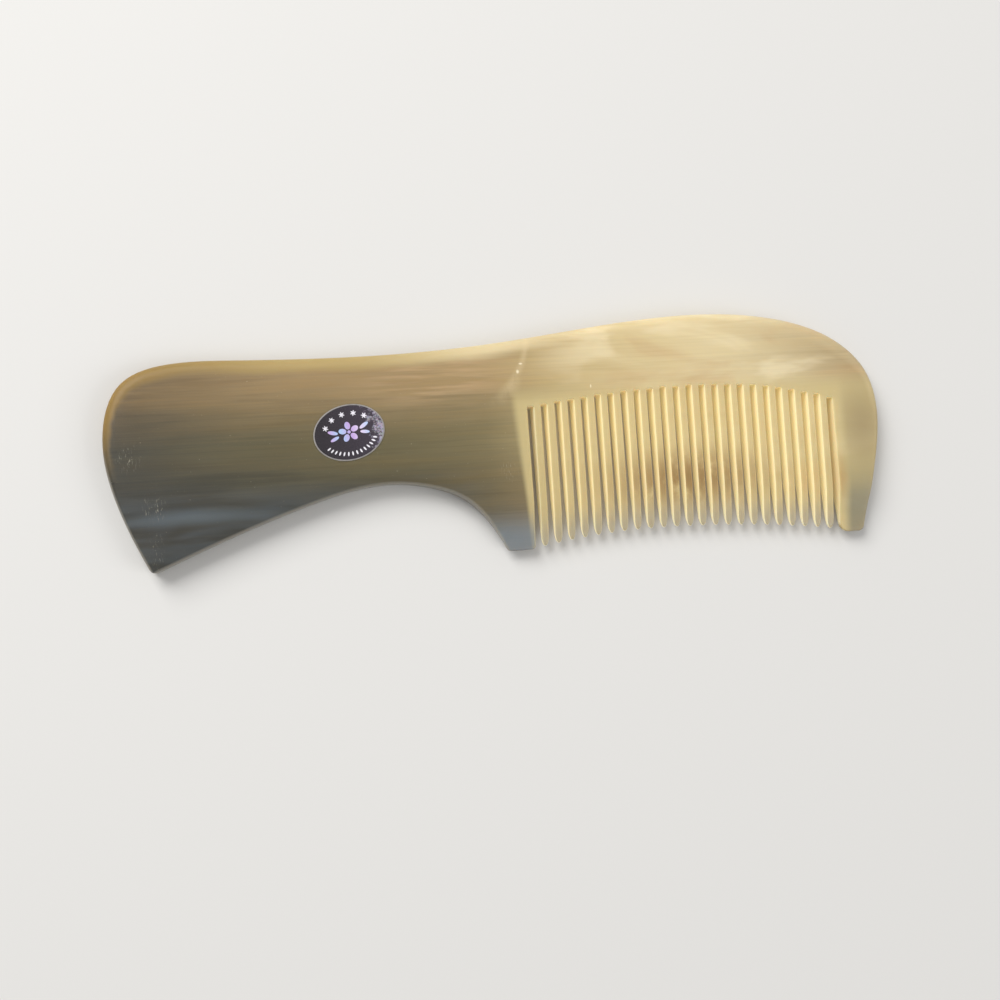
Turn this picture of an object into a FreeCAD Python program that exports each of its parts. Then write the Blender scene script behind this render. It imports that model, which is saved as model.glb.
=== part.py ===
import FreeCAD, Part
import math
import os

# A handled wide tooth comb, sawn and ground from one flat plate of horn, with a small
# oval foil label on the handle. Millimetres. The comb lies flat: +X runs from the butt of
# the handle to the nose of the head, +Y from the tooth tips to the back, and +Z is up.
# It is drawn with the butt at x = 0 and the lowest guard tip at y = 0, and every piece is
# moved at the end, so that the origin is under the middle of the comb, level with the
# flat face that it lies on.
# The horn is one piece in reality. It is divided here, face to face, into the regions
# that a comb maker names: the handle, the back, the two guards and each tooth.

Vector = FreeCAD.Vector

# The plate
plate_thickness = 5.2
edge_round = 1.2           # rounding all round the plate
handle_length = 87.4       # butt to the far end of the finger recess
handle_waist = 29.6        # narrowest height of the handle, over the recess
handle_drop = 6.3          # top of the handle below the top of the back
butt_slant = 9.0           # lower corner of the butt, in from the butt's end
butt_rise = 1.2            # lower corner of the butt, above the lowest guard tip
butt_round = 16.2          # reach of the large round at the butt's upper corner

# The head
tooth_count = 23
tooth_width = 1.64
slot_width = 1.52
tooth_length = 32.8        # from the highest root to the highest tip
spine_height = 16.9        # from the highest root to the top of the back
heel_guard_width = 6.5     # tip of the guard beside the handle
heel_flare = 9.0           # how far the heel guard spreads into the handle
heel_flare_rise = 12.4     # where that spread starts, above the heel guard's tip
heel_inner_round = 0.8     # corner of the heel guard beside the first slot
nose_inner_round = 2.4     # corner of the front guard beside the last slot
nose_length = 11.6         # last slot to the nose
nose_slant = 5.6           # front guard's tip, in from the nose
nose_drop = 3.1            # the nose's foremost point below the last root

# The two arches that the tips and the roots follow
heel_tip_rise = 1.0        # heel guard's tip above the front guard's tip
first_tip_rise = 1.2       # tips at the heel above the lowest guard tip
last_tip_rise = 0.8        # tips at the nose above the lowest guard tip
tip_arch = 4.0             # highest tips above the lowest guard tip
tip_peak_share = 0.41      # where along the row the tips are highest
heel_root_drop = 3.3       # roots at the heel below the highest root
nose_root_drop = 4.8       # roots at the nose below the highest root
root_peak_share = 0.58     # where along the row the roots are highest

# The grinding of the teeth and guards
tip_thickness = 0.9
bevel_length = 4.2         # steep grinding at the tip
bevel_thickness = 2.2
belly_length = 9.5         # gentler grinding behind it, on the teeth alone
belly_thickness = 3.8
tooth_point_length = 2.4   # rounded point, seen from above
tooth_edge_round = 0.25
corner_round = 1.3         # corners of the guard tips and of the butt

# The label
label_length = 16.0
label_height = 12.5
label_tilt = 12.0          # degrees, the end nearer the head up
label_from_butt = 53.1     # to its centre
label_below_top = 17.6     # centre of the label below the top of the handle
adhesive_thickness = 0.03
film_thickness = 0.08

# Places that follow
tooth_pitch = tooth_width + slot_width
first_slot = handle_length + heel_guard_width
row_end = first_slot + tooth_count * tooth_pitch + slot_width
row_length = row_end - first_slot
nose_end = row_end + nose_length
heel_edge = handle_length - heel_flare
highest_root = tip_arch + tooth_length
heel_root = highest_root - heel_root_drop
nose_root = highest_root - nose_root_drop
back_top = highest_root + spine_height
handle_top = back_top - handle_drop
recess_top = handle_top - handle_waist
flare_height = heel_tip_rise + heel_flare_rise
back_peak = first_slot + root_peak_share * row_length
nose_height = nose_root - nose_drop
beyond = 5.0               # how far a cutting block passes the horn


def smooth_edge(points, start, end):
    """A smooth edge through points, with its directions at the two ends."""
    spline = Part.BSplineCurve()
    spline.interpolate(
        Points=[Vector(x, y, 0) for x, y in points],
        InitialTangent=Vector(*start, 0),
        FinalTangent=Vector(*end, 0),
    )
    return spline.toShape()


def straight_edge(start, end):
    return Part.LineSegment(Vector(*start, 0), Vector(*end, 0)).toShape()


def arch(x, peak_share, peak, at_start, at_end):
    """Height at x of an arch over the row of teeth: two half parabolas with one peak."""
    peak_x = first_slot + peak_share * row_length
    if x < peak_x:
        return peak - (peak - at_start) * ((peak_x - x) / (peak_x - first_slot)) ** 2
    return peak - (peak - at_end) * ((x - peak_x) / (row_end - peak_x)) ** 2


def tip_height(x):
    return arch(x, tip_peak_share, tip_arch, first_tip_rise, last_tip_rise)


def root_height(x):
    return arch(x, root_peak_share, highest_root, heel_root, nose_root)


def slot_left(number):
    """Near wall of a slot. Slots are numbered from 0 at the heel."""
    return first_slot + number * tooth_pitch


def slot_end(number):
    """Height of a slot's closed end, which the saw leaves square."""
    return root_height(slot_left(number) + slot_width / 2)


def tooth_root(number):
    """A tooth starts at the lower of the two slot ends beside it."""
    return min(slot_end(number), slot_end(number + 1))


def side_outline(tip, root, belly, belly_half):
    """The grinding seen from the side, in the YZ plane: straight from root to belly, then curved.

    It runs on past the tip, where the outline seen from above ends it.
    """
    root_corner = Vector(0, root, plate_thickness / 2)
    belly_corner = Vector(0, belly, belly_half)
    bevel = Vector(0, tip + bevel_length, bevel_thickness / 2)
    end = Vector(0, tip, tip_thickness / 2)
    past_end = Vector(0, tip - beyond, tip_thickness / 2)
    ground = Part.BSplineCurve()
    ground.interpolate(
        Points=[belly_corner, bevel, end],
        InitialTangent=belly_corner - root_corner,
        FinalTangent=end - bevel,
    )
    upper = [
        Part.LineSegment(root_corner, belly_corner).toShape(),
        ground.toShape(),
        Part.LineSegment(end, past_end).toShape(),
    ]
    lower = [edge.mirror(Vector(0, 0, 0), Vector(0, 0, 1)) for edge in upper]
    closing = [
        Part.LineSegment(past_end, past_end - Vector(0, 0, tip_thickness)).toShape(),
        Part.LineSegment(root_corner, root_corner - Vector(0, 0, plate_thickness)).toShape(),
    ]
    return Part.Face(Part.Wire(Part.__sortEdges__(upper + lower + closing)))


def ground_bar(left, right, side):
    """The block that a tooth or guard is shaped from: its side outline, as wide as it is."""
    bar = side.extrude(Vector(right - left, 0, 0))
    bar.translate(Vector(left, 0, 0))
    return bar


def between(low, high, share):
    return low + share * (high - low)


def plate_outline():
    """The comb from above, with the row of teeth still solid between its guards."""
    butt_corner = (butt_slant, butt_rise)
    heel_corner = (handle_length, heel_tip_rise)
    past_heel_guard = (first_slot + tooth_pitch, heel_tip_rise)
    before_front_guard = (row_end - tooth_pitch, 0)
    nose_corner = (nose_end - nose_slant, 0)
    recess = [
        butt_corner,
        (between(0, handle_length, 0.31), between(butt_rise, recess_top, 0.44)),
        (between(0, handle_length, 0.50), between(butt_rise, recess_top, 0.79)),
        (between(0, handle_length, 0.70), recess_top),
        (between(0, handle_length, 0.81), between(butt_rise, recess_top, 0.93)),
        (heel_edge, flare_height),
        heel_corner,
    ]
    outer = [
        nose_corner,
        (nose_end - 0.3 * nose_slant, between(0, nose_height, 0.58)),
        (nose_end, nose_height),
        (nose_end - 2.2, between(nose_height, back_top, 0.40)),
        (nose_end - 9.3, between(nose_height, back_top, 0.70)),
        (nose_end - 22.0, between(nose_height, back_top, 0.91)),
        (back_peak, back_top),
        (between(handle_length, back_peak, 0.50), between(handle_top, back_top, 0.71)),
        (handle_length, between(handle_top, back_top, 0.24)),
        (between(butt_round, handle_length, 0.60), handle_top - 0.2),
        (between(butt_round, handle_length, 0.18), handle_top + 0.1),
        (butt_round, handle_top),
        (0.27 * butt_round, handle_top - 0.25 * butt_round),
        (0, handle_top - butt_round),
        (0.27 * butt_slant, between(butt_rise, handle_top - butt_round, 0.52)),
        butt_corner,
    ]
    edges = [
        smooth_edge(recess, start=(1.0, 0.42), end=(0.45, -1.0)),
        straight_edge(heel_corner, past_heel_guard),
        straight_edge(past_heel_guard, before_front_guard),
        straight_edge(before_front_guard, nose_corner),
        smooth_edge(outer, start=(0.17, 1.0), end=(0.5, -1.0)),
    ]
    return Part.Wire(edges)


def is_upright(edge):
    """Whether an edge runs along Z, as the corners of an extruded outline do."""
    first, last = edge.Vertexes[0].Point, edge.Vertexes[-1].Point
    return abs(first.x - last.x) + abs(first.y - last.y) < 1e-6 < abs(first.z - last.z)


def plate():
    """The whole plate, centred on z = 0, with its corners and then its edges rounded."""
    blank = Part.Face(plate_outline()).extrude(Vector(0, 0, plate_thickness))
    blank.translate(Vector(0, 0, -plate_thickness / 2))
    cornered = blank.makeFillet(corner_round, [edge for edge in blank.Edges if is_upright(edge)])
    rims = [edge for edge in cornered.Edges if edge.BoundBox.ZLength < 1e-3]
    return cornered.makeFillet(edge_round, rims)


def block(left, right, low, high):
    """A cutting block that passes the plate's two faces."""
    height = plate_thickness + 2 * beyond
    return Part.makeBox(right - left, high - low, height, Vector(left, low, -height / 2))


def handle():
    return plate().common(block(-beyond, heel_edge, -beyond, back_top + beyond))


def back():
    """The solid part of the head, stepped along its lower side by the slots' square ends."""
    steps = [(heel_edge, slot_end(0))]
    for number in range(tooth_count + 1):
        left = slot_left(number)
        steps.append((left, slot_end(number)))
        steps.append((left + slot_width, slot_end(number)))
        if number < tooth_count:
            steps.append((left + slot_width, tooth_root(number)))
            steps.append((left + tooth_pitch, tooth_root(number)))
    steps.append((nose_end + beyond, slot_end(tooth_count)))
    steps.append((nose_end + beyond, back_top + beyond))
    steps.append((heel_edge, back_top + beyond))
    corners = [steps[place] for place in range(len(steps)) if steps[place] != steps[place - 1]]
    height = plate_thickness + 2 * beyond
    points = [Vector(x, y, -height / 2) for x, y in corners + corners[:1]]
    region = Part.Face(Part.makePolygon(points)).extrude(Vector(0, 0, height))
    return plate().common(region)


def guard(left, right, slot_side, inner_round, tip, root):
    """A wide end tooth: a strip of the plate with its tip ground and its inner corner rounded.

    The grinding starts where the finger recess leaves the handle, so the faces run on flush.
    """
    strip = block(left, right, tip, root)
    inner = [
        edge for edge in strip.Edges
        if is_upright(edge) and edge.BoundBox.YMax < tip + 1e-3 and abs(edge.BoundBox.XMin - slot_side) < 1e-3
    ]
    side = side_outline(tip, root, flare_height, plate_thickness / 2)
    return plate().common(strip.makeFillet(inner_round, inner)).common(ground_bar(left, right, side))


def tooth_plan(left, right, tip, root):
    """A tooth from above: straight sides and half an ellipse for its point."""
    middle = (left + right) / 2
    shoulder = tip + tooth_point_length
    oval = Part.Ellipse(Vector(middle, tip, 0), Vector(right, shoulder, 0), Vector(middle, shoulder, 0))
    point = Part.ArcOfEllipse(oval, -math.pi / 2, math.pi / 2).toShape()
    edges = [
        straight_edge((left, root), (left, shoulder)),
        point,
        straight_edge((right, shoulder), (right, root)),
        straight_edge((right, root), (left, root)),
    ]
    return Part.Face(Part.Wire(edges))


def tooth(number):
    """A tooth, ground to a thin tip, pointed and with its long edges worn round."""
    left = slot_left(number) + slot_width
    right = left + tooth_width
    tip = tip_height((left + right) / 2)
    root = tooth_root(number)
    plan = tooth_plan(left, right, tip, root).extrude(Vector(0, 0, plate_thickness + 2 * beyond))
    plan.translate(Vector(0, 0, -plate_thickness / 2 - beyond))
    side = side_outline(tip, root, tip + belly_length, belly_thickness / 2)
    ground = ground_bar(left, right, side).common(plan)
    rims = [edge for edge in ground.Edges if edge.BoundBox.YMin < root - 1e-3 and not is_upright(edge)]
    return ground.makeFillet(tooth_edge_round, rims)


def label_layer(bottom, thickness):
    """One layer of the oval label, lying on the upper face of the handle."""
    centre = Vector(label_from_butt, handle_top - label_below_top, bottom)
    oval = Part.Ellipse(centre, label_length / 2, label_height / 2)
    layer = Part.Face(Part.Wire(oval.toShape())).extrude(Vector(0, 0, thickness))
    layer.rotate(centre, Vector(0, 0, 1), label_tilt)
    return layer


def write(pieces):
    """Each piece goes to its own file, with the origin under the middle of the comb."""
    box = plate().optimalBoundingBox()
    to_origin = Vector(-box.Center.x, -box.Center.y, plate_thickness / 2)
    os.makedirs("parts", exist_ok=True)
    for name, shape in pieces.items():
        shape.translate(to_origin)
        shape.exportStep("parts/" + name + ".step")


pieces = {
    "handle": handle(),
    "back": back(),
    "heel_guard": guard(heel_edge, first_slot, first_slot, heel_inner_round, heel_tip_rise, slot_end(0)),
    "front_guard": guard(row_end, nose_end, row_end, nose_inner_round, 0, slot_end(tooth_count)),
    "label_adhesive": label_layer(plate_thickness / 2, adhesive_thickness),
    "label_film": label_layer(plate_thickness / 2 + adhesive_thickness, film_thickness),
}
for number in range(tooth_count):
    pieces["tooth_%02d" % (number + 1)] = tooth(number)
write(pieces)
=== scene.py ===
import math
import random

import bmesh
import bpy
import numpy as np
from mathutils import Matrix, Vector
from mathutils.kdtree import KDTree


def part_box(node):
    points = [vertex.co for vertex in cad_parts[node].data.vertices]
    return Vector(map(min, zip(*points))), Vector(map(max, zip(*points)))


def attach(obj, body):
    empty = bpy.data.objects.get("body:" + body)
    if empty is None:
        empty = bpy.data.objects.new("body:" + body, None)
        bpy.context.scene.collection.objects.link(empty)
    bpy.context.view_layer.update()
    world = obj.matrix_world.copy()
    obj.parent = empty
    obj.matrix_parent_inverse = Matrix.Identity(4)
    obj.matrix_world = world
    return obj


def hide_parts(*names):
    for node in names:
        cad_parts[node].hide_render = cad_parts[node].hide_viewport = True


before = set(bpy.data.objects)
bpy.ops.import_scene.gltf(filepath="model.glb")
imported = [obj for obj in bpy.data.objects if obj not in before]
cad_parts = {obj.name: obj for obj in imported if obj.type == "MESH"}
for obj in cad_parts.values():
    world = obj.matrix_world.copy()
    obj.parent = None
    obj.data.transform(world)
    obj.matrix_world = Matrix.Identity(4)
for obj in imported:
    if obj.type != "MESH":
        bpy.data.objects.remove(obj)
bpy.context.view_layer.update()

# A one-piece comb, sawn and filed from a flattened plate of ox horn and polished,
# with an oval foil label stuck on its handle. Lengths are in millimetres, measured
# from the butt of the handle and from the lowest tip, unless they end in _m.

MM = 0.001

tooth_names = sorted(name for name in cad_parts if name.startswith("tooth_"))
horn_names = ["handle", "back", "heel_guard", "front_guard"] + tooth_names
butt_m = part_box("handle")[0].x
lowest_tip_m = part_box("front_guard")[0].y
top_face_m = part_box("back")[1].z


def drawn_box(name):
    """Left, right, lower and upper edge of a piece seen from above."""
    low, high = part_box(name)
    left, right = (low.x - butt_m) / MM, (high.x - butt_m) / MM
    lower, upper = (low.y - lowest_tip_m) / MM, (high.y - lowest_tip_m) / MM
    return left, right, lower, upper


# The plate
plate_thickness = top_face_m / MM
length = drawn_box("front_guard")[1]
back_top = drawn_box("back")[3]
heel_edge, first_slot, heel_tip, heel_slot_end = drawn_box("heel_guard")
row_end, nose_end, nose_tip, nose_slot_end = drawn_box("front_guard")
teeth = [drawn_box(name) for name in tooth_names]
heel_corner_x = 87.4
nose_corner_x = 174.1
butt_corner = (9.0, 1.2)
outline_step = 1.6
longest_step = 3.0             # longer pieces of the outline are straight walls
row_top = 40.0                 # above every slot, below the back

# How much of each sharp corner is taken off, seen from above
butt_cut = 1.2
heel_cut = 0.85
heel_inner_cut = 0.8
nose_inner_cut = 2.4
nose_cut = 1.1
slot_end_cut = 0.3

# How far the edges are rounded off
back_round = 2.1
handle_round = 2.4
recess_round = 0.7
nose_round = 0.8
tooth_round = 0.26
pillow_width = 5.0
pillow_depth = 0.28

# The teeth
point_length = 2.4
tip_half = 0.45
bevel_length = 4.2
bevel_half = 1.1
belly_length = 9.5
belly_half = 1.9
guard_bevel_length = 12.4

# The label
label_length = 16.0
label_height = 12.5
label_tilt = math.radians(12)
foil_rim = 0.22


def only(*objects):
    """Selects these objects alone, the first of them active."""
    bpy.ops.object.select_all(action="DESELECT")
    for thing in objects:
        thing.select_set(True)
    bpy.context.view_layer.objects.active = objects[0]


def edit(thing):
    """Opens one piece in edit mode with nothing in it selected, and returns its mesh."""
    only(thing)
    bpy.ops.object.mode_set(mode="EDIT")
    bpy.ops.mesh.select_all(action="DESELECT")
    return bmesh.from_edit_mesh(thing.data)


def close():
    bpy.ops.object.mode_set(mode="OBJECT")


def pick(thing, mesh, chosen):
    """Adds these vertices, edges or faces of the open mesh to what is selected."""
    for part in chosen:
        part.select = True
    mesh.select_flush_mode()
    bmesh.update_edit_mesh(thing.data)


def apply_all(thing):
    """Applies every modifier of a piece, in order."""
    only(thing)
    for name in [modifier.name for modifier in thing.modifiers]:
        bpy.ops.object.modifier_apply(modifier=name)


# The horn plate ------------------------------------------------------------------------


def smooth_line(points, start, end):
    """Points a step apart on the smooth line through the given ones, and its two end directions.

    A point has its place and how far the edge is rounded there, which changes as smoothly.
    """
    points = np.array(points, float)
    gaps = np.linalg.norm(np.diff(points[:, :2], axis=0), axis=1)
    count = len(points)
    matrix = np.eye(count)
    right_side = np.zeros((count, 3))
    right_side[0] = (*Vector(start).normalized(), 0)
    right_side[-1] = (*Vector(end).normalized(), 0)
    for place in range(1, count - 1):
        before, after = gaps[place - 1], gaps[place]
        matrix[place, place - 1:place + 2] = [1 / before, 2 / before + 2 / after, 1 / after]
        rise_before = (points[place] - points[place - 1]) / before ** 2
        rise_after = (points[place + 1] - points[place]) / after ** 2
        right_side[place] = 3 * (rise_before + rise_after)
    slopes = np.linalg.solve(matrix, right_side)
    line = []
    for place, gap in enumerate(gaps):
        steps = max(1, round(gap / outline_step))
        for t in np.arange(steps) / steps:
            here = (1 + 2 * t) * (1 - t) ** 2 * points[place] + t * (1 - t) ** 2 * gap * slopes[place]
            there = t * t * (3 - 2 * t) * points[place + 1] - t * t * (1 - t) * gap * slopes[place + 1]
            line.append(tuple(here + there))
    return line + [tuple(points[-1])]


def recess_line():
    """The finger recess, from the butt's corner to the heel's tip."""
    low_x, low_y = butt_corner
    points = [
        (low_x, low_y, recess_round),
        (0.31 * heel_corner_x, 8.5, recess_round),
        (0.50 * heel_corner_x, 14.3, recess_round),
        (0.70 * heel_corner_x, 17.8, recess_round),
        (0.81 * heel_corner_x, 16.6, recess_round),
        (heel_edge, heel_tip + guard_bevel_length, recess_round),
        (heel_corner_x, heel_tip, tooth_round),
    ]
    return smooth_line(points, (1.0, 0.42), (0.45, -1.0))


def outer_line():
    """Up the nose, over the head and the handle and round the butt."""
    low_x, low_y = butt_corner
    points = [
        (nose_corner_x, 0, tooth_round),
        (178.0, 16.8, nose_round),
        (nose_end, 28.9, 1.2),
        (nose_end - 2.2, 38.8, 1.7),
        (nose_end - 9.3, 46.3, back_round),
        (nose_end - 22.0, 51.5, back_round),
        (136.9, back_top, back_round),
        (112.2, 51.9, back_round),
        (heel_corner_x, 48.9, handle_round),
        (58.9, 47.2, handle_round),
        (29.0, 47.5, handle_round),
        (16.2, 47.4, handle_round),
        (4.4, 43.4, handle_round),
        (0.0, 31.2, 1.9),
        (2.4, 16.8, 1.0),
        (low_x, low_y, recess_round),
    ]
    return smooth_line(points, (0.17, 1.0), (0.5, -1.0))


def hand_sawn(seed=4):
    """The walls and closed end of each slot, a little uneven, as a hand-guided saw leaves them."""
    chance = random.Random(seed)
    lefts = [first_slot] + [box[1] for box in teeth]
    rights = [box[0] for box in teeth] + [row_end]
    ends = [heel_slot_end] + [max(a[3], b[3]) for a, b in zip(teeth, teeth[1:])] + [nose_slot_end]
    slots = []
    for left, right, end in zip(lefts, rights, ends):
        slots.append([left + chance.uniform(-0.06, 0.06), right + chance.uniform(-0.06, 0.06),
                      end + chance.uniform(-0.12, 0.12)])
    return slots


def tooth_point(left, right, tip):
    """Half an ellipse, from a tooth's left side round its tip to its right side."""
    middle, half = (left + right) / 2, (right - left) / 2
    turn = [math.pi + math.pi * step / 12 for step in range(13)]
    return [(middle + half * math.cos(a), tip + point_length * (1 + math.sin(a)), tooth_round) for a in turn]


def comb_line(slots):
    """The whole outline: recess, heel, every slot and tooth, front guard, then the outer edge."""
    line = recess_line() + [(slots[0][0], heel_tip, tooth_round)]
    for number, (left, right, end) in enumerate(slots):
        line += [(left, end, tooth_round), (right, end, tooth_round)]
        if number < len(teeth):
            line += tooth_point(right, slots[number + 1][0], teeth[number][2])
    return line + [(slots[-1][1], nose_tip, tooth_round)] + outer_line()[:-1]


def place_m(x, y, z=0.0):
    return Vector((butt_m + x * MM, lowest_tip_m + y * MM, z * MM))


def sawn_blank(line, slots):
    """The plate sawn to the outline, its corners taken off, still square-edged."""
    bpy.ops.object.select_all(action="DESELECT")
    bpy.ops.mesh.primitive_plane_add(size=MM, location=place_m(*line[0][:2]))
    blank = bpy.context.object
    blank.name = blank.data.name = "comb_horn"
    bpy.ops.object.transform_apply(location=True, rotation=True, scale=True)
    edit(blank)
    bpy.ops.mesh.select_all(action="SELECT")
    bpy.ops.mesh.merge(type="CENTER")
    for before, after in zip(line, line[1:]):
        step = place_m(*after[:2]) - place_m(*before[:2])
        bpy.ops.mesh.extrude_vertices_move(TRANSFORM_OT_translate={"value": step})
    bpy.ops.mesh.select_all(action="SELECT")
    bpy.ops.mesh.remove_doubles(threshold=0.01 * MM)
    mesh = bmesh.from_edit_mesh(blank.data)
    ends = [vert for vert in mesh.verts if len(vert.link_edges) == 1]
    bpy.ops.mesh.select_all(action="DESELECT")
    pick(blank, mesh, ends)
    bpy.ops.mesh.edge_face_add()
    corners = [
        (butt_corner, butt_cut),
        ((heel_corner_x, heel_tip), heel_cut),
        ((slots[0][0], heel_tip), heel_inner_cut),
        ((slots[-1][1], nose_tip), nose_inner_cut),
        ((nose_corner_x, 0.0), nose_cut),
    ]
    for left, right, end in slots:
        corners += [((left, end), slot_end_cut), ((right, end), slot_end_cut)]
    for (x, y), cut in corners:
        bpy.ops.mesh.select_all(action="DESELECT")
        mesh = bmesh.from_edit_mesh(blank.data)
        corner = min(mesh.verts, key=lambda vert: (vert.co - place_m(x, y)).length)
        pick(blank, mesh, [corner])
        bpy.ops.mesh.bevel(offset=cut * MM, segments=4, affect="VERTICES", clamp_overlap=False)
    bpy.ops.mesh.select_all(action="SELECT")
    bpy.ops.mesh.edge_face_add()
    bpy.ops.mesh.extrude_region_move(TRANSFORM_OT_translate={"value": (0, 0, top_face_m)})
    bpy.ops.mesh.select_all(action="SELECT")
    bpy.ops.mesh.normals_make_consistent(inside=False)
    close()
    return blank


def round_edges(blank, line):
    """Both rims filed round, by as much as the outline says at each place."""
    known = KDTree(len(line))
    for number, (x, y, _) in enumerate(line):
        known.insert(place_m(x, y), number)
    known.balance()
    mesh = edit(blank)
    weight = mesh.edges.layers.float.new("bevel_weight_edge")
    for edge in mesh.edges:
        if abs(edge.verts[0].co.z - edge.verts[1].co.z) < 0.1 * MM:
            near = [known.find(Vector((vert.co.x, vert.co.y, 0)))[1] for vert in edge.verts]
            edge[weight] = min(line[number][2] for number in near) / handle_round
    bmesh.update_edit_mesh(blank.data)
    close()
    bevel = blank.modifiers.new("filed edges", "BEVEL")
    bevel.limit_method = "WEIGHT"
    bevel.width = handle_round * MM
    bevel.segments = 6
    bevel.use_clamp_overlap = False
    apply_all(blank)


def cut_rows(blank):
    """Rows and columns of edges, close enough for the grinding and for the colour to follow."""
    rows = [0.4, 0.8] + list(np.arange(1.4, 10.0, 0.8)) + list(np.arange(10.0, 53.0, 1.9))
    columns = list(np.arange(1.0, heel_corner_x, 2.2)) + list(np.arange(heel_corner_x + 1, nose_end, 3.16))
    edit(blank)
    for place, direction in [(row, (0, 1, 0)) for row in rows] + [(column, (1, 0, 0)) for column in columns]:
        bpy.ops.mesh.select_all(action="SELECT")
        bpy.ops.mesh.bisect(plane_co=place_m(place, place), plane_no=direction, threshold=1e-7)
    bpy.ops.mesh.select_all(action="DESELECT")
    close()


def eased(t, low, high, low_slope):
    """From low, leaving at a slope, to high, arriving level, as t goes from 0 to 1."""
    return (1 + 2 * t) * (1 - t) ** 2 * low + t * (1 - t) ** 2 * low_slope + t * t * (3 - 2 * t) * high


def half_thickness(from_tip, root, guard):
    """Half of what the grinding leaves of a tooth or guard, at a distance from its tip."""
    full = plate_thickness / 2
    if from_tip < tip_half:
        return tooth_round + (tip_half - tooth_round) * math.sqrt(1 - (1 - max(from_tip, 0) / tip_half) ** 2)
    if from_tip < bevel_length:
        return tip_half + (bevel_half - tip_half) * from_tip / bevel_length
    if guard:
        share = min(1, (from_tip - bevel_length) / (guard_bevel_length - bevel_length))
        return eased(share, bevel_half, full, 1.27)
    if from_tip < belly_length:
        share = (from_tip - bevel_length) / (belly_length - bevel_length)
        return bevel_half + (belly_half - bevel_half) * share
    return min(full, belly_half + (full - belly_half) * (from_tip - belly_length) / (root - belly_length))


def tip_below(x, slots):
    """The tip of the tooth or guard at x, its root above that tip, and whether it is a guard."""
    if x < (slots[0][0] + slots[0][1]) / 2:
        return heel_tip, heel_slot_end, True
    for number, tooth in enumerate(teeth):
        if x < (slots[number + 1][0] + slots[number + 1][1]) / 2:
            return tooth[2], min(slots[number][2], slots[number + 1][2]) - tooth[2], False
    return nose_tip, nose_slot_end, True


def edge_distance(x, y, line):
    """How far each place is from the outer outline, the row of teeth left out."""
    start = np.array(line)[:, :2]
    along = np.roll(start, -1, axis=0) - start
    over_row = (start[:, 0] > first_slot - 1) & (start[:, 0] < row_end + 1)
    in_teeth = over_row & (start[:, 1] < row_top)
    kept = (np.hypot(*along.T) < longest_step) & ~in_teeth
    start, along = start[kept], along[kept]
    nearest = np.full(len(x), 1e9)
    for (sx, sy), (ax, ay) in zip(start, along):
        share = np.clip(((x - sx) * ax + (y - sy) * ay) / (ax * ax + ay * ay), 0, 1)
        nearest = np.minimum(nearest, np.hypot(x - sx - share * ax, y - sy - share * ay))
    return nearest


def grind(comb, slots, line):
    """Thins the teeth and guards towards their tips and lets the faces fall away at the outer edge."""
    verts = comb.data.vertices
    x = np.array([(vert.co.x - butt_m) / MM for vert in verts])
    y = np.array([(vert.co.y - lowest_tip_m) / MM for vert in verts])
    from_edge = edge_distance(x, y, line)
    from_tip = np.full(len(verts), 99.0)
    depth = pillow_depth * np.clip(1 - from_edge / pillow_width, 0, 1) ** 2
    for number in np.nonzero((x > heel_edge) & (y < heel_slot_end + 6))[0]:
        tip, root, guard = tip_below(x[number], slots)
        from_tip[number] = y[number] - tip
        if y[number] < tip + root:
            depth[number] += plate_thickness / 2 - half_thickness(y[number] - tip, root, guard)
    deepest = depth.max()
    upper = comb.vertex_groups.new(name="upper face")
    lower = comb.vertex_groups.new(name="lower face")
    for number, vert in enumerate(verts):
        face = upper if vert.co.z > top_face_m / 2 else lower
        face.add([number], depth[number] / deepest, "REPLACE")
    for group, side in ((upper, -1), (lower, 1)):
        move = comb.modifiers.new(group.name, "DISPLACE")
        move.direction = "Z"
        move.mid_level = 0
        move.strength = side * deepest * MM
        move.vertex_group = group.name
    apply_all(comb)
    comb.vertex_groups.clear()
    for name, values in (("from_edge", from_edge), ("from_tip", from_tip)):
        comb.data.attributes.new(name, "FLOAT", "POINT").data.foreach_set("value", values.astype(np.float32))


def comb_horn():
    """The whole comb, one piece of horn."""
    slots = hand_sawn()
    line = comb_line(slots)
    comb = sawn_blank(line, slots)
    round_edges(comb, line)
    cut_rows(comb)
    grind(comb, slots, line)
    only(comb)
    bpy.ops.object.shade_smooth_by_angle(angle=math.radians(40))
    comb.modifiers.new("flat faces stay flat", "WEIGHTED_NORMAL").keep_sharp = True
    apply_all(comb)
    return comb


# The label -----------------------------------------------------------------------------

film_low, film_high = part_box("label_film")
label_centre_m = Vector(((film_low.x + film_high.x) / 2, (film_low.y + film_high.y) / 2, 0))


def on_label(u, v, height_m):
    """A place on the label, u along it and v across it from its centre."""
    along_x = u * math.cos(label_tilt) - v * math.sin(label_tilt)
    along_y = u * math.sin(label_tilt) + v * math.cos(label_tilt)
    return label_centre_m + Vector((along_x * MM, along_y * MM, height_m))


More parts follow.
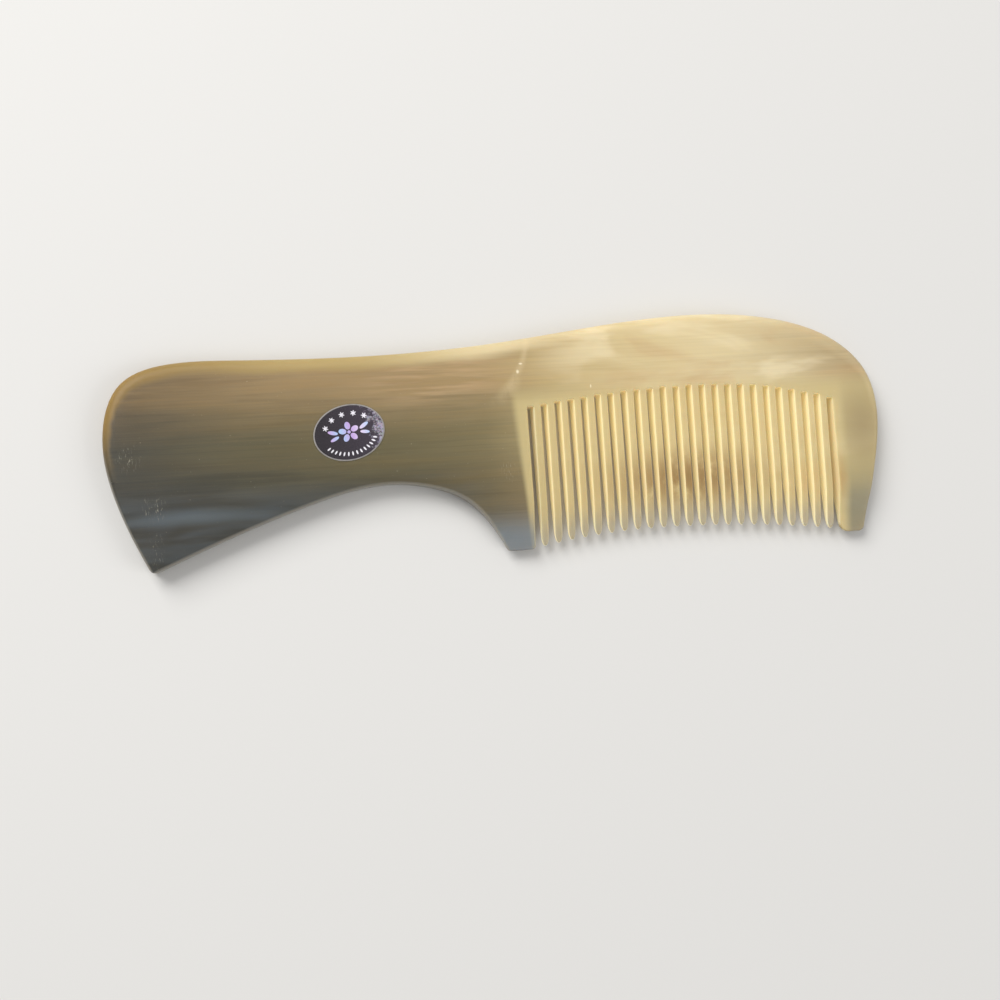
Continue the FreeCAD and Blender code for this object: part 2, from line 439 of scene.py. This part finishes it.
def thin_oval(name, place_m, size, turn, thickness_m, sides):
    """A thin flat oval, size long and wide and turned on the label, standing on its place."""
    bpy.ops.object.select_all(action="DESELECT")
    bpy.ops.mesh.primitive_circle_add(vertices=sides, radius=0.5 * MM, fill_type="NGON", location=place_m,
                                      rotation=(0, 0, label_tilt + turn), scale=(1, 1, 1))
    oval = bpy.context.object
    oval.name = oval.data.name = name
    oval.scale = (size[0], size[1], 1)
    bpy.ops.object.transform_apply(location=True, rotation=True, scale=True)
    edit(oval)
    bpy.ops.mesh.select_all(action="SELECT")
    bpy.ops.mesh.extrude_region_move(TRANSFORM_OT_translate={"value": (0, 0, thickness_m)})
    bpy.ops.mesh.select_all(action="SELECT")
    bpy.ops.mesh.normals_make_consistent(inside=False)
    # The order of an extruded rim is left to chance, so it is sorted by distance from the butt.
    bpy.context.scene.cursor.location = (butt_m, lowest_tip_m, -0.1)
    bpy.ops.mesh.sort_elements(type="CURSOR_DISTANCE", elements={"VERT", "EDGE", "FACE"})
    bpy.context.scene.cursor.location = (0, 0, 0)
    close()
    return oval


def label_film():
    """The foil, die-cut and pressed down at its rim, where the print stops and bare foil shows."""
    film = thin_oval("label_foil", on_label(0, 0, film_low.z), (label_length, label_height), 0,
                     film_high.z - film_low.z, 96)
    mesh = edit(film)
    top = [face for face in mesh.faces if face.normal.z > 0.9]
    pick(film, mesh, top)
    bpy.ops.mesh.inset(thickness=0.05 * MM, depth=0)
    bpy.ops.mesh.inset(thickness=foil_rim * MM, depth=0.012 * MM)
    film.data.materials.append(bare_foil_material())
    film.data.materials.append(printed_foil_material())
    film.active_material_index = 1
    bpy.ops.object.material_slot_assign()
    bpy.ops.mesh.inset(thickness=0.6 * MM, depth=0)
    close()
    return film


def printed(name, marks, material):
    """Ink marks on the foil, each a thin oval (u, v, length, width, turn in degrees), as one piece."""
    ink = 0.014
    pieces = []
    for number, (u, v, long_side, wide_side, turn) in enumerate(marks):
        rise = (ink + 0.002 * (number % 3)) * MM
        place = on_label(u, v, film_high.z + 0.012 * MM)
        pieces.append(thin_oval(name, place, (long_side, wide_side), math.radians(turn), rise, 20))
    only(*pieces)
    bpy.ops.object.join()
    joined = bpy.context.object
    joined.name = joined.data.name = name
    joined.data.materials.append(material)
    return joined


def rim_marks():
    """Five small stars over the motif and a row of ticks under it."""
    marks = []
    for turn in range(150, 20, -27):
        u, v = 5.6 * math.cos(math.radians(turn)), 4.25 * math.sin(math.radians(turn))
        marks += [(u, v, 1.35, 0.3, turn + arm) for arm in (0, 60, 120)]
    for turn in range(212, 338, 9):
        u, v = 6.2 * math.cos(math.radians(turn)), 4.75 * math.sin(math.radians(turn))
        marks.append((u, v, 0.95, 0.36, math.degrees(math.atan2(v, u))))
    return marks


def blossom_marks():
    """A five-petalled blossom between two pairs of leaves."""
    marks = []
    for petal in range(5):
        turn = 90 + 72 * petal
        reach = math.radians(turn)
        marks.append((1.45 * math.cos(reach), 1.45 * math.sin(reach) + 0.1, 1.75, 1.25, turn))
    marks.append((0, 0.1, 0.75, 0.75, 0))
    for side in (-1, 1):
        marks.append((side * 3.55, 0.75, 2.3, 0.85, side * 24))
        marks.append((side * 3.45, -0.7, 2.1, 0.75, side * -16))
    return marks


# Materials -----------------------------------------------------------------------------


def colour(code):
    """An sRGB hex colour as linear red, green, blue and alpha."""
    parts = [int(code[place:place + 2], 16) / 255 for place in (0, 2, 4)]
    linear = [part / 12.92 if part < 0.04045 else ((part + 0.055) / 1.055) ** 2.4 for part in parts]
    return (*linear, 1.0)


def add(tree, kind, inputs=None, **settings):
    """Adds a node. inputs are values for its sockets, or other nodes' sockets to link there."""
    made = tree.nodes.new("ShaderNode" + kind)
    for name, value in settings.items():
        setattr(made, name, value)
    for socket, value in (inputs or {}).items():
        if isinstance(value, bpy.types.NodeSocket):
            tree.links.new(value, made.inputs[socket])
        else:
            made.inputs[socket].default_value = value
    return made


def new_material(name):
    """An empty material with its shader node and its node tree."""
    made = bpy.data.materials.new(name)
    made.use_nodes = True
    tree = made.node_tree
    return made, tree, tree.nodes["Principled BSDF"]


def comb_horn_material():
    """Ox horn, filed, scraped and buffed by hand.

    The eye gets a cloudy, slightly see-through plate with growth streaks along its length,
    pale where it is clear and smoky towards the root end, under a soft uneven gloss.
    """
    made, tree, shader = new_material("polished_ox_horn")

    def number(operation, first, second=0.0, third=0.0):
        return add(tree, "Math", {0: first, 1: second, 2: third}, operation=operation).outputs[0]

    def fade(value, low, high):
        """0 at low, 1 at high, smoothly between."""
        return add(tree, "MapRange", {0: value, 1: low, 2: high}, interpolation_type="SMOOTHSTEP").outputs[0]

    def blend(share, first, second, way="MIX"):
        mixed = add(tree, "Mix", {0: share, 6: first, 7: second}, data_type="RGBA", blend_type=way)
        return mixed.outputs[2]

    def along(value, stops, span):
        """Colours laid out along a length, each at its place in millimetres."""
        ramp = add(tree, "ValToRGB", {0: number("DIVIDE", value, span)})
        ramp.color_ramp.interpolation = "B_SPLINE" if len(stops) > 4 else "EASE"
        elements = ramp.color_ramp.elements
        while len(elements) < len(stops):
            elements.new(0.5)
        for element, (place, code) in zip(elements, stops):
            element.position = place / span
            element.color = colour(code)
        return ramp.outputs[0]

    here = add(tree, "TexCoord").outputs["Object"]
    drawn = add(tree, "Mapping", {
        "Vector": here, "Location": (-butt_m / MM, -lowest_tip_m / MM, 0), "Scale": (1 / MM,) * 3}).outputs[0]

    def noise(size, detail=2.0, roughness=0.5, warp=0.0):
        """Noise whose blots are about this many millimetres in each direction."""
        scaled = add(tree, "Mapping", {"Vector": drawn, "Scale": tuple(1 / side for side in size)})
        return add(tree, "TexNoise", {"Vector": scaled.outputs[0], "Scale": 1.0, "Detail": detail,
                                      "Roughness": roughness, "Distortion": warp}).outputs[0]

    def spot(x, y, wide, high, soft=0.0):
        """1 in the middle of an oval patch, 0 at its edge."""
        centred = add(tree, "Mapping", {"Vector": drawn, "Location": (-x / wide, -y / high, 0),
                                        "Scale": (1 / wide, 1 / high, 0)}).outputs[0]
        reach = add(tree, "VectorMath", {0: centred}, operation="LENGTH").outputs["Value"]
        return fade(reach, 1.0, soft)

    sides = add(tree, "SeparateXYZ", {0: drawn})
    x, y = sides.outputs[0], sides.outputs[1]
    clouds = noise((42, 9, 9), 3, 0.55, 0.3)
    drift = number("MULTIPLY_ADD", clouds, 9.0, -4.5)
    y_drift = number("ADD", y, drift)
    x_drift = number("ADD", x, number("MULTIPLY", drift, 0.8))

    # Seven colours of ox horn, from the clear pale head to the smoky root end that makes the handle. Set in
    # rows by height, they also hold painted light and shade: darker towards the lower edge and paler high up,
    # as under a light from the upper left.
    cream, straw, tan = "e6d6ac", "cbb582", "a08860"
    umber, olive, smoke, slate = "64502c", "625a3c", "36352e", "6c7476"
    upper = along(x_drift, [
        (0, umber), (40, tan), (84, tan), (108, straw), (142, cream), (178, tan),
    ], length)
    middle = along(x_drift, [
        (0, smoke), (30, olive), (84, olive), (108, straw), (150, cream), (178, tan),
    ], length)
    lower = along(x_drift, [
        (0, smoke), (50, smoke), (84, olive), (108, tan), (150, straw), (178, olive),
    ], length)
    lowest = along(x_drift, [
        (0, smoke), (35, smoke), (84, slate), (108, tan), (150, straw), (178, olive),
    ], length)
    # Blending the rows by height paints shade low down and light high up, along with the horn's own colour.
    horn = blend(fade(y_drift, 2, 15), lowest, lower)
    horn = blend(fade(y_drift, 13, 27), horn, middle)
    horn = blend(fade(y_drift, 27, 43), horn, upper)

    # The head is cloudy, creamier in some places and pinkish tan in others.
    cloudy = noise((26, 9, 9), 3, 0.55, 0.4)
    on_head = fade(x, 92, 112)
    pale = number("MULTIPLY", fade(cloudy, 0.5, 0.68), on_head)
    horn = blend(number("MULTIPLY", pale, 0.45), horn, colour("f2e4c0"))
    deep = number("MULTIPLY", fade(cloudy, 0.48, 0.32), on_head)
    horn = blend(number("MULTIPLY", deep, 0.4), horn, colour("c4a274"))

    # Growth streaks run the length of the horn, wide and faint or fine as threads.
    on_handle = fade(x, 96, 84)
    streaks = noise((55, 2.6, 3), 4, 0.6, 0.4)
    horn = blend(number("MULTIPLY", fade(streaks, 0.42, 0.68), number("MULTIPLY_ADD", on_handle, 0.16, 0.14)),
                 horn, colour("c9b79a"), "SOFT_LIGHT")
    horn = blend(number("MULTIPLY", fade(streaks, 0.5, 0.3), 0.22), horn, colour("4a3a24"), "SOFT_LIGHT")
    threads = noise((26, 0.42, 0.6), 3, 0.6)
    horn = blend(number("MULTIPLY", fade(threads, 0.48, 0.74), 0.18), horn, colour("f4e6c4"), "SOFT_LIGHT")
    horn = blend(number("MULTIPLY", fade(threads, 0.5, 0.24), 0.15), horn, colour("3c2c18"), "SOFT_LIGHT")

    # Blue-grey veils show where the plate is clearest, low on the handle.
    veil = number("MULTIPLY", fade(noise((30, 4.2, 5), 2, 0.5, 0.5), 0.42, 0.62), fade(y, 21, 15))
    horn = blend(number("MULTIPLY", number("MULTIPLY", veil, fade(x, 88, 70)), 0.2), horn, colour("626c74"))

    # One clear blue streak lies low by the butt, with a dark one above it.
    horn = blend(number("MULTIPLY", spot(20, 13, 26, 2.6), 0.4), horn, colour("6f7c84"))
    horn = blend(number("MULTIPLY", spot(24, 20.5, 24, 3.0), 0.3), horn, colour("2f3021"))

    # Pinkish tan streaks lie high on the handle, before the head.
    rosy = number("MULTIPLY", spot(74, 41, 26, 9), fade(noise((22, 1.4, 2), 3, 0.6), 0.4, 0.64))
    horn = blend(number("MULTIPLY", rosy, 0.55), horn, colour("c9a982"))

    # The horn is paler on both sides of the saw cuts, where it was scraped thin and clear.
    beside = number("DIVIDE", number("SUBTRACT", first_slot, x), number("MULTIPLY_ADD", y, 0.075, 0.9))
    pale_side = number("MULTIPLY", fade(beside, 1.25, 0.55), fade(y, 39, 34))
    pale_side = number("MULTIPLY", pale_side, fade(x, 88, 91))
    horn = blend(number("MULTIPLY", pale_side, 0.8), horn, colour("cdbb86"))

    # The first guard fades to clear blue-grey at its tip.
    heel_clear = number("MULTIPLY", fade(x, first_slot + 0.4, first_slot - 0.6), fade(y, 11, 3))
    heel_clear = number("MULTIPLY", heel_clear, fade(x, 78, 84))
    horn = blend(number("MULTIPLY", heel_clear, 0.75), horn, colour("7d868c"))

    # The last guard turns grey-green at its tip and brown beside the nose.
    nose_clear = number("MULTIPLY", fade(x, 168.8, 171.5), fade(y, 19, 6))
    horn = blend(number("MULTIPLY", nose_clear, 0.75), horn, colour("77725c"))
    horn = blend(number("MULTIPLY", number("MULTIPLY", spot(175, 25, 11, 17), fade(x, 168.6, 171.4)), 0.6),
                 horn, colour("8f7b58"))

    # Tea-coloured stains
    stain = number("MULTIPLY", spot(131, 15, 30, 10), fade(noise((5, 7, 4), 4, 0.65), 0.24, 0.52))
    horn = blend(number("MULTIPLY", stain, 0.85), horn, colour("8f6e3a"))
    horn = blend(number("MULTIPLY", spot(168.7, 13, 2.6, 8), 0.5), horn, colour("b08a50"))
    horn = blend(number("MULTIPLY", spot(160, 13, 8, 6), 0.4), horn, colour("cba667"))

    # The tips are ground so thin that they lose their yellow.
    tip = add(tree, "Attribute", attribute_name="from_tip").outputs["Fac"]
    past_heel = fade(x, first_slot - 0.1, first_slot + 0.3)
    before_nose = fade(x, row_end + 0.2, row_end - 0.2)
    in_row = number("MULTIPLY", past_heel, before_nose)
    clear_tip = number("MULTIPLY", fade(tip, 8.0, 1.0), in_row)
    horn = blend(number("MULTIPLY", clear_tip, 0.7), horn, colour("a29c8a"))

    # Painted light: the sawn walls between the teeth are painted paler and given a painted glow. This stands
    # in for light that enters the faces and comes out again between the teeth.
    facing = add(tree, "SeparateXYZ", {0: add(tree, "TexCoord").outputs["Normal"]}).outputs[2]
    in_slots = number("MULTIPLY", in_row, fade(y, 39, 37))
    painted_wall_light = number("MULTIPLY", fade(number("ABSOLUTE", facing), 0.8, 0.3), in_slots)
    horn = blend(number("MULTIPLY", painted_wall_light, 0.8), horn, colour("fff2cc"))
    painted_wall_glow = blend(painted_wall_light, colour("000000"), colour("e0cfa0"))
    # The edge that the hand holds is rounded, and a band along its top is painted orange-gold. The band is
    # partly the clearer colour of thin horn and partly painted light that the rounded edge catches and lets
    # through. At the butt and recess there is only a thin pale grey line along the edge, which is a painted
    # highlight.

    # The edge that the hand holds is rounded into clear amber horn, thinly at the butt and recess.
    rim = add(tree, "Attribute", attribute_name="from_edge").outputs["Fac"]
    amber_and_rim_light = along(x, [(0, "886a24"), (50, "ac955c"), (104, cream)], length)
    rim_noise = number("MULTIPLY_ADD", noise((14, 3, 3), 2), 1.4, -0.7)
    rim_width = number("MULTIPLY_ADD", fade(y, 32, 45), 1.9, 2.4)
    rim_share = number("DIVIDE", number("ADD", rim, rim_noise), rim_width)
    back_rim_amber_and_light = number("MULTIPLY", fade(rim_share, 1.0, 0.5), fade(y, 20, 38))
    back_rim_amber_and_light = number("MULTIPLY", back_rim_amber_and_light, number("MULTIPLY_ADD", fade(x, 108, 80), 0.72, 0.16))
    horn = blend(back_rim_amber_and_light, horn, amber_and_rim_light)
    # Painted highlight: a thin pale grey line along the low rounded edge, where it catches light.
    low_rim_highlight = number("MULTIPLY", fade(rim, 0.7, 0.1), fade(y, 30, 20))
    low_rim_highlight = number("MULTIPLY", low_rim_highlight, fade(x, 93, 88))
    horn = blend(number("MULTIPLY", low_rim_highlight, 0.6), horn, colour("a09b90"))

    # A healed flaw bends across the neck, clearer than the horn around it.
    fall = number("POWER", number("MAXIMUM", number("SUBTRACT", 49.5, y), 0.0), 1.8)
    flaw_x = number("ABSOLUTE", number("ADD", x, number("MULTIPLY_ADD", fall, 0.0566, -94.7)))
    flaw_width = number("MULTIPLY_ADD", fade(y, 44, 34), 2.6, 1.3)
    flaw = number("MULTIPLY", fade(number("DIVIDE", flaw_x, flaw_width), 1.0, 0.0), fade(y, 33, 39))
    flaw = number("MULTIPLY", flaw, fade(noise((2.5, 3.5, 3), 3, 0.6), 0.25, 0.6))
    horn = blend(number("MULTIPLY", flaw, 0.34), horn, colour("dccaa0"))
    # Painted highlights: three small near-white glints on the flaw.
    painted_glint = number("MAXIMUM", spot(92.2, 41.7, 0.45, 0.6, 0.2), spot(93.0, 43.5, 0.6, 0.3, 0.2))
    painted_glint = number("MAXIMUM", painted_glint, spot(109.1, 37.6, 0.2, 0.6, 0.2))
    horn = blend(number("MULTIPLY", painted_glint, 0.7), horn, colour("fff3d2"))

    # Handling has left whitish scratches on the butt and by the recess.
    worn = number("MAXIMUM", spot(5.4, 26.5, 3.4, 4.2), spot(10.3, 15.5, 3.4, 5.2))
    worn = number("MAXIMUM", worn, number("MAXIMUM", spot(10.4, 6.5, 2.2, 6.0), spot(88.5, 19.0, 3.0, 3.4)))
    turned = add(tree, "Mapping", {"Vector": drawn, "Rotation": (0, 0, 0.5), "Scale": (3.2, 0.75, 1.0)})
    nicks = add(tree, "TexNoise", {
        "Vector": turned.outputs[0], "Scale": 1.0, "Detail": 5.0, "Roughness": 0.75})
    scratches = number("MULTIPLY", number("MULTIPLY", worn, fade(nicks.outputs[0], 0.56, 0.68)), 0.8)
    horn = blend(scratches, horn, colour("b4ad97"))
    motes = fade(noise((0.5, 0.4, 0.5), 2, 0.6), 0.73, 0.8)
    horn = blend(number("MULTIPLY", motes, 0.3), horn, colour("efe2c0"))
    tree.links.new(horn, shader.inputs["Base Color"])
    # The painted glow of the walls goes to the emission, so they glow though they are no lamp.
    tree.links.new(painted_wall_glow, shader.inputs["Emission Color"])
    shader.inputs["Emission Strength"].default_value = 0.15

    # Polishing leaves a soft gloss with faint buffing marks along the grain.
    smears = noise((9, 5, 5), 4, 0.6)
    rough = number("MULTIPLY_ADD", smears, 0.16, number("MULTIPLY_ADD", threads, 0.12, 0.27))
    rough = number("MULTIPLY_ADD", back_rim_amber_and_light, 0.18, rough)
    tree.links.new(number("ADD", rough, number("MULTIPLY", scratches, 0.25)), shader.inputs["Roughness"])
    buffing = noise((7, 0.16, 0.3), 3, 0.6)
    relief = number("ADD", number("MULTIPLY", buffing, 0.5), number("MULTIPLY_ADD", smears, 1.0, scratches))
    bump = add(tree, "Bump", {"Height": relief, "Strength": 0.25, "Distance": 0.00012})
    tree.links.new(bump.outputs[0], shader.inputs["Normal"])
    shader.inputs["IOR"].default_value = 1.55
    shader.inputs["Subsurface Weight"].default_value = 0.5
    shader.inputs["Subsurface Radius"].default_value = (1.0, 0.75, 0.5)
    shader.inputs["Subsurface Scale"].default_value = 0.003
    return made


def bare_foil_material():
    """Aluminium-coated film without print: bright, a little crinkled."""
    made, tree, shader = new_material("bare_silvered_film")
    here = add(tree, "TexCoord").outputs["Object"]
    crinkle = add(tree, "TexNoise", {"Vector": here, "Scale": 1.2 / MM, "Detail": 3.0}).outputs[0]
    shade = add(tree, "Mix", {0: crinkle, 6: colour("8f8a8c"), 7: colour("d8d2ca")}, data_type="RGBA")
    tree.links.new(shade.outputs[2], shader.inputs["Base Color"])
    shader.inputs["Metallic"].default_value = 0.8
    shader.inputs["Roughness"].default_value = 0.3
    return made


def label_millimetres(tree):
    """Places on the label in millimetres from its centre, u along it."""
    here = add(tree, "TexCoord").outputs["Object"]
    return add(tree, "Mapping", {"Vector": here, "Location": label_centre_m, "Rotation": (0, 0, label_tilt),
                                 "Scale": (MM, MM, MM)}, vector_type="TEXTURE").outputs[0]


def printed_foil_material():
    """Film printed nearly black over a fine rainbow foil, which glitters through where the print is thin."""
    made, tree, shader = new_material("dark_printed_rainbow_film")
    flat = label_millimetres(tree)
    across = add(tree, "SeparateXYZ", {0: flat}).outputs[0]
    grains = add(tree, "TexVoronoi", {"Vector": flat, "Scale": 4.5}, voronoi_dimensions="2D")
    tint = add(tree, "Mix", {0: 0.82, 6: grains.outputs["Color"], 7: colour("c6bdd0")}, data_type="RGBA")
    patches = add(tree, "TexNoise", {
        "Vector": flat, "Scale": 0.75, "Detail": 5.0, "Roughness": 0.72}).outputs[0]
    bared = add(tree, "MapRange", {0: across, 1: 1.5, 2: 7.0, 3: -0.24, 4: 0.12}).outputs[0]
    bared = add(tree, "Math", {0: patches, 1: bared}, operation="ADD").outputs[0]
    bared = add(tree, "MapRange", {0: bared, 1: 0.5, 2: 0.66}, interpolation_type="SMOOTHSTEP").outputs[0]
    haze = add(tree, "MapRange", {0: across, 1: -6.0, 2: 6.0, 3: 0.05, 4: 0.3}).outputs[0]
    dark = add(tree, "Mix", {0: haze, 6: colour("1a1317"), 7: colour("5b4d60")}, data_type="RGBA").outputs[2]
    flecks = add(tree, "MapRange", {
        0: grains.outputs["Distance"], 1: 0.16, 2: 0.05, 3: 0.0, 4: 0.22}).outputs[0]
    dark = add(tree, "Mix", {0: flecks, 6: dark, 7: tint.outputs[2]}, data_type="RGBA").outputs[2]
    shade = add(tree, "Mix", {0: bared, 6: dark, 7: tint.outputs[2]}, data_type="RGBA").outputs[2]
    tree.links.new(shade, shader.inputs["Base Color"])
    tree.links.new(add(tree, "MapRange", {0: bared, 3: 0.1, 4: 0.7}).outputs[0], shader.inputs["Metallic"])
    bump = add(tree, "Bump", {"Height": patches, "Strength": 0.3, "Distance": 0.03 * MM})
    tree.links.new(bump.outputs[0], shader.inputs["Normal"])
    shader.inputs["Roughness"].default_value = 0.32
    shader.inputs["Coat Weight"].default_value = 0.6
    shader.inputs["Coat Roughness"].default_value = 0.12
    return made


def ink_material(name, stops):
    """Screen-printed ink, slightly uneven, its colour changing along the label."""
    made, tree, shader = new_material(name)
    flat = label_millimetres(tree)
    across = add(tree, "SeparateXYZ", {0: flat}).outputs[0]
    share = add(tree, "MapRange", {0: across, 1: -4.5, 2: 4.5}).outputs[0]
    ramp = add(tree, "ValToRGB", {0: share})
    elements = ramp.color_ramp.elements
    while len(elements) < len(stops):
        elements.new(0.5)
    for element, (place, code) in zip(elements, stops):
        element.position = place
        element.color = colour(code)
    speckle = add(tree, "TexNoise", {"Vector": flat, "Scale": 3.0, "Detail": 3.0}).outputs[0]
    worn = add(tree, "MapRange", {0: speckle, 1: 0.35, 2: 0.75, 3: 0.0, 4: 0.3}).outputs[0]
    shade = add(tree, "Mix", {0: worn, 6: ramp.outputs[0], 7: colour("8f86a0")}, data_type="RGBA").outputs[2]
    tree.links.new(shade, shader.inputs["Base Color"])
    shader.inputs["Roughness"].default_value = 0.4
    return made


def adhesive_material():
    """Acrylic label adhesive: clear, slightly yellow and cloudy, seen only as a line round the film."""
    made, tree, shader = new_material("clear_acrylic_adhesive")
    here = add(tree, "TexCoord").outputs["Object"]
    cloud = add(tree, "TexNoise", {"Vector": here, "Scale": 0.8 / MM, "Detail": 2.0}).outputs[0]
    shade = add(tree, "Mix", {0: cloud, 6: colour("8f8668"), 7: colour("a8a083")}, data_type="RGBA")
    tree.links.new(shade.outputs[2], shader.inputs["Base Color"])
    shader.inputs["Roughness"].default_value = 0.6
    shader.inputs["IOR"].default_value = 1.47
    return made


# The scene -----------------------------------------------------------------------------


def plain_material(name, code, roughness):
    made, tree, shader = new_material(name)
    shader.inputs["Base Color"].default_value = colour(code)
    shader.inputs["Roughness"].default_value = roughness
    return made


def studio():
    """A pale floor, one broad light from the upper left and a weak fill."""
    bpy.ops.object.select_all(action="DESELECT")
    bpy.ops.mesh.primitive_plane_add(size=4.0, location=(0, 0, 0))
    floor = bpy.context.object
    floor.name = "floor"
    floor.data.materials.append(plain_material("matt_pale_board", "dcdad6", 0.85))
    for name, place, size, power in (
        ("window", (-0.62, 0.74, 0.80), 0.8, 15.5),
        ("fill", (0.95, -0.45, 0.70), 0.7, 4.0),
    ):
        lamp = bpy.data.lights.new(name, "AREA")
        lamp.size = size
        lamp.energy = power
        stand = bpy.data.objects.new(name, lamp)
        stand.location = place
        stand.rotation_euler = (-Vector(place)).to_track_quat("-Z", "Y").to_euler()
        bpy.context.scene.collection.objects.link(stand)
    world = bpy.data.worlds.new("studio")
    world.use_nodes = True
    world.node_tree.nodes["Background"].inputs[0].default_value = colour("f2f3f5")
    world.node_tree.nodes["Background"].inputs[1].default_value = 0.5
    bpy.context.scene.world = world
    bpy.context.scene.view_settings.view_transform = "Standard"


def camera():
    """From above, a little from the butt's side and from below the teeth, and rolled a little."""
    from_left, from_below, roll = math.radians(10.0), math.radians(3.4), math.radians(3.6)
    back = Vector((-math.tan(from_left), -math.tan(from_below), 1)).normalized()
    target = Vector((-0.00298, -0.0139, 0))
    right = Vector((math.cos(roll), -math.sin(roll), 0))
    right = (right - right.dot(back) * back).normalized()
    up = back.cross(right)
    view = bpy.data.objects.new("camera", bpy.data.cameras.new("camera"))
    view.data.lens = 45
    view.data.sensor_width = 36
    view.data.clip_start = 0.01
    turned = Matrix((right, up, back)).transposed().to_4x4()
    view.matrix_world = Matrix.Translation(target + 0.288 * back) @ turned
    bpy.context.scene.collection.objects.link(view)
    bpy.context.scene.camera = view


comb = comb_horn()
comb.data.materials.append(comb_horn_material())
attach(comb, "root")
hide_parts(*horn_names)

film = label_film()
white_ink = ink_material("white_screen_ink", [(0.0, "e9e6ea"), (1.0, "f4f0f6")])
pearl_ink = ink_material("pastel_pearl_ink", [
    (0.0, "c9a9dc"), (0.25, "a9cdf0"), (0.55, "c3a3dd"), (0.8, "e4d3ee"), (1.0, "bcd0f2")])
marks = printed("label_marks", rim_marks(), white_ink)
blossom = printed("label_blossom", blossom_marks(), pearl_ink)
for piece in (film, marks, blossom):
    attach(piece, "root")
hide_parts("label_film")
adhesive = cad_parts["label_adhesive"]
adhesive.data.materials.clear()
adhesive.data.materials.append(adhesive_material())

studio()
camera()
